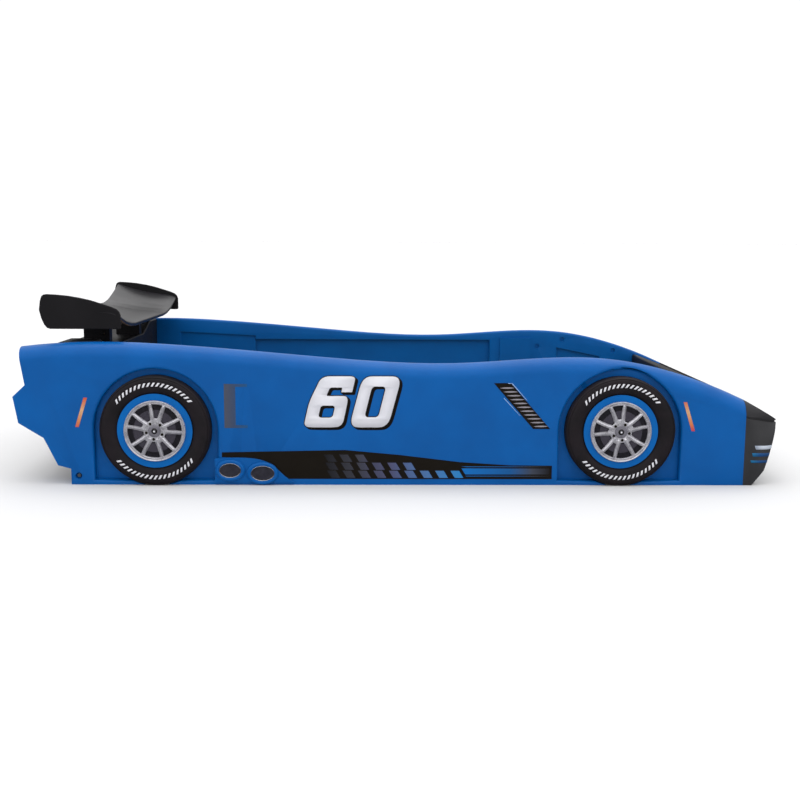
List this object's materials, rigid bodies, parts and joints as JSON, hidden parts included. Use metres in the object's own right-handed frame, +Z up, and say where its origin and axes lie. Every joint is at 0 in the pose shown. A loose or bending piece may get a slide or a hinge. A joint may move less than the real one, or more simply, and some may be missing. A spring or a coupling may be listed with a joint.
{
  "type": "race car bed",
  "caption": "Low child's bed shaped like a racing car: hollow moulded side panels with mock wheels, tail with wing, sloping nose and a slatted base for a single mattress.",
  "frame": {"origin": "on the floor under the middle of the bounding box", "axes": "+X to the car's nose, +Y to the car's left side, +Z up"},
  "size_m": [2.39, 1.138, 0.588],
  "materials": {
    "body_blue": "satin moulded plastic",
    "trim_black": "satin moulded plastic",
    "tyre_black": "matt moulded plastic",
    "disc_blue": "satin moulded plastic",
    "trim_silver": "silver painted plastic",
    "exhaust_grey": "metallic painted plastic",
    "frame_steel": "black powder coat",
    "slat_wood": "sanded pine",
    "foot_plastic": "moulded",
    "bolt_black": "black oxide",
    "zinc_steel": "zinc plated",
    "print_white": "printed film",
    "print_black": "printed film",
    "print_grey": "printed film",
    "print_orange": "printed film",
    "print_glass": "printed film",
    "print_navy": "printed film"
  },
  "bodies": {
    "root": {"beam_brackets": "frame_steel", "beam_legs": "frame_steel", "bracket_screws": "zinc_steel", "bumper_decal": "print_navy", "bumper_screws": "zinc_steel", "centre_beam": "frame_steel", "corner_screws": "zinc_steel", "front_bumper": "trim_black", "hood": "trim_black", "left_door_mark": "print_grey", "left_exhaust_tips": "exhaust_grey", "left_front_tyre": "tyre_black", "left_front_wheel_disc": "disc_blue", "left_front_wheel_trim": "trim_silver", "left_number_decal": "print_white", "left_rear_tyre": "tyre_black", "left_rear_wheel_disc": "disc_blue", "left_rear_wheel_trim": "trim_silver", "left_side_lamps": "print_orange", "left_side_panel": "body_blue", "left_side_rail": "frame_steel", "left_stripe_decal": "print_black", "left_vent_decal": "print_black", "left_wing_post": "trim_black", "leg_feet": "foot_plastic", "rail_bolts": "zinc_steel", "right_door_mark": "print_grey", "right_exhaust_tips": "exhaust_grey", "right_front_tyre": "tyre_black", "right_front_wheel_disc": "disc_blue", "right_front_wheel_trim": "trim_silver", "right_number_decal": "print_white", "right_rear_tyre": "tyre_black", "right_rear_wheel_disc": "disc_blue", "right_rear_wheel_trim": "trim_silver", "right_side_lamps": "print_orange", "right_side_panel": "body_blue", "right_side_rail": "frame_steel", "right_stripe_decal": "print_black", "right_vent_decal": "print_black", "right_wing_post": "trim_black", "slat_01": "slat_wood", "slat_02": "slat_wood", "slat_03": "slat_wood", "slat_04": "slat_wood", "slat_05": "slat_wood", "slat_06": "slat_wood", "slat_07": "slat_wood", "slat_08": "slat_wood", "slat_09": "slat_wood", "slat_10": "slat_wood", "slat_11": "slat_wood", "slat_12": "slat_wood", "slat_screws": "zinc_steel", "tail_body": "trim_black", "tail_bolts": "bolt_black", "wheel_bolts": "bolt_black", "windscreen_decal": "print_glass", "wing": "trim_black", "wing_bolts": "bolt_black"}
  },
  "joints": []
}
